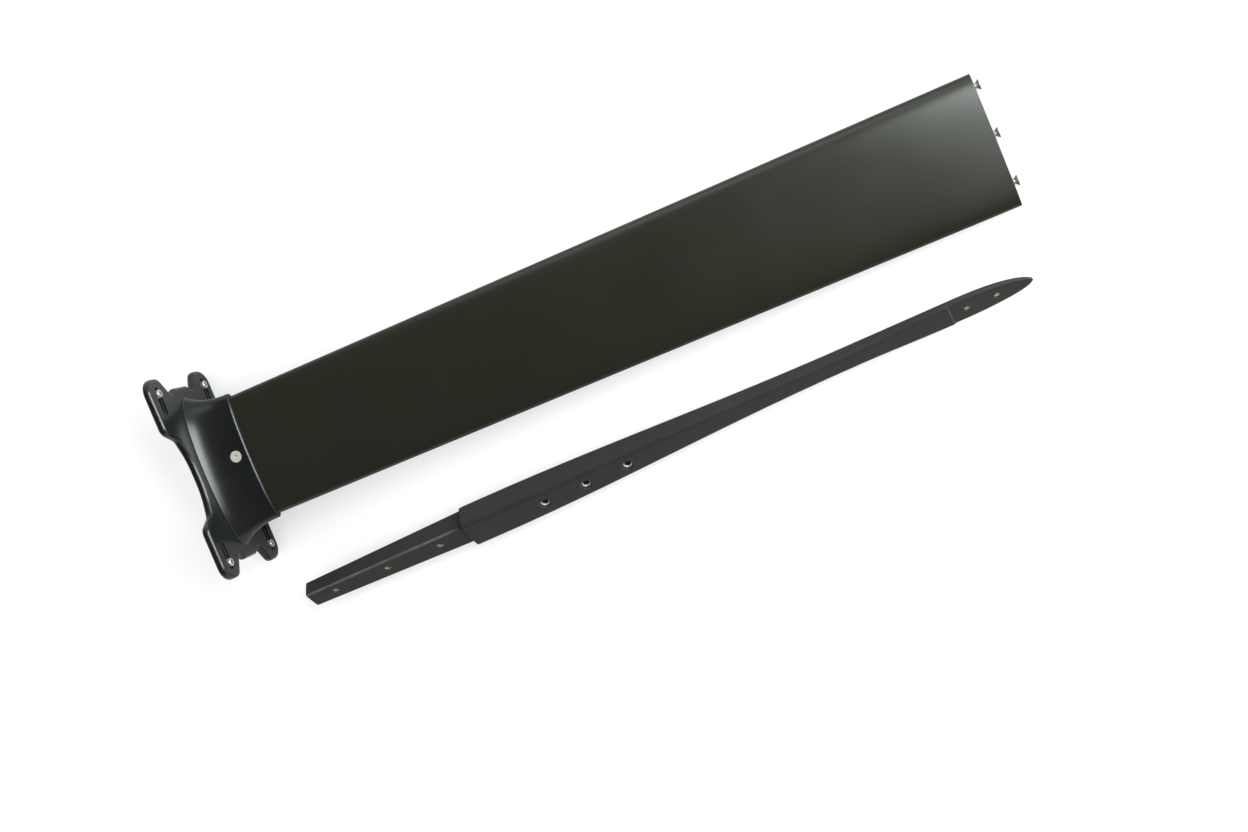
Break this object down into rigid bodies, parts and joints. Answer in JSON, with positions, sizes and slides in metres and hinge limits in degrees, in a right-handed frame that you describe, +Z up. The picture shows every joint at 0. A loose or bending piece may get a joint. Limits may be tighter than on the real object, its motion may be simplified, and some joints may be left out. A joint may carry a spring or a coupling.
{
  "type": "hydrofoil mast",
  "caption": "Foil-section mast with a flared head on a slotted H-shaped base plate, and its tapered fuselage lying beside it, for lifting a board above the water.",
  "frame": {"origin": "middle of the bounding box's bottom, on the floor that the mast and fuselage lie on", "axes": "+X along the mast from the plate to the foot, +Y towards the mast's leading edge, +Z up"},
  "size_m": [0.7778, 0.2534, 0.1188],
  "materials": {
    "black_alloy": "satin black anodised, fine lengthwise grain",
    "black_casting": "satin black paint over cast aluminium",
    "gunmetal_alloy": "dark grey-green anodised",
    "stainless_steel": "turned stainless steel",
    "bright_stainless": "bright stainless steel"
  },
  "bodies": {
    "mast": {"base_plate": "black_casting", "mast_head": "black_casting", "mast_extrusion": "black_alloy", "plate_screw_1": "stainless_steel", "plate_screw_2": "stainless_steel", "clamp_sleeve_nut": "bright_stainless", "foot_insert_1": "stainless_steel", "foot_insert_2": "stainless_steel", "foot_insert_3": "stainless_steel"},
    "fuselage": {"fuselage_beam": "gunmetal_alloy", "wing_insert_1": "bright_stainless", "wing_insert_2": "bright_stainless", "wing_insert_3": "bright_stainless", "tail_insert_1": "bright_stainless", "tail_insert_2": "bright_stainless"},
    "clamp_bolt": {"clamp_bolt": "bright_stainless"},
    "track_bolt_1": {"track_bolt_1": "stainless_steel"},
    "track_bolt_2": {"track_bolt_2": "stainless_steel"},
    "track_bolt_3": {"track_bolt_3": "stainless_steel"},
    "track_bolt_4": {"track_bolt_4": "stainless_steel"},
    "foot_screw_1": {"foot_screw_1": "stainless_steel"},
    "foot_screw_2": {"foot_screw_2": "stainless_steel"},
    "foot_screw_3": {"foot_screw_3": "stainless_steel"}
  },
  "joints": [
    {"name": "track_bolt_1_slide", "type": "slide", "parent": "mast", "child": "track_bolt_1", "axis": [0, -1, 0], "range_m": [0, 0.0165]},
    {"name": "track_bolt_2_slide", "type": "slide", "parent": "mast", "child": "track_bolt_2", "axis": [0, -1, 0], "range_m": [0, 0.0165]},
    {"name": "track_bolt_3_slide", "type": "slide", "parent": "mast", "child": "track_bolt_3", "axis": [0, 1, 0], "range_m": [0, 0.0165]},
    {"name": "track_bolt_4_slide", "type": "slide", "parent": "mast", "child": "track_bolt_4", "axis": [0, 1, 0], "range_m": [0, 0.0165]},
    {"name": "foot_screw_1_withdraw", "type": "slide", "parent": "mast", "child": "foot_screw_1", "axis": [0.9978, 0, -0.0661], "range_m": [0, 0.018]},
    {"name": "foot_screw_2_withdraw", "type": "slide", "parent": "mast", "child": "foot_screw_2", "axis": [0.9978, 0, -0.0661], "range_m": [0, 0.018]},
    {"name": "foot_screw_3_withdraw", "type": "slide", "parent": "mast", "child": "foot_screw_3", "axis": [0.9978, 0, -0.0661], "range_m": [0, 0.018]},
    {"name": "clamp_bolt_withdraw", "type": "slide", "parent": "mast", "child": "clamp_bolt", "axis": [0.0661, 0, 0.9978], "range_m": [0, 0.014]},
    {"name": "fuselage_lift", "type": "slide", "parent": "mast", "child": "fuselage", "axis": [0, 0, 1], "range_m": [0, 0.3]}
  ]
}
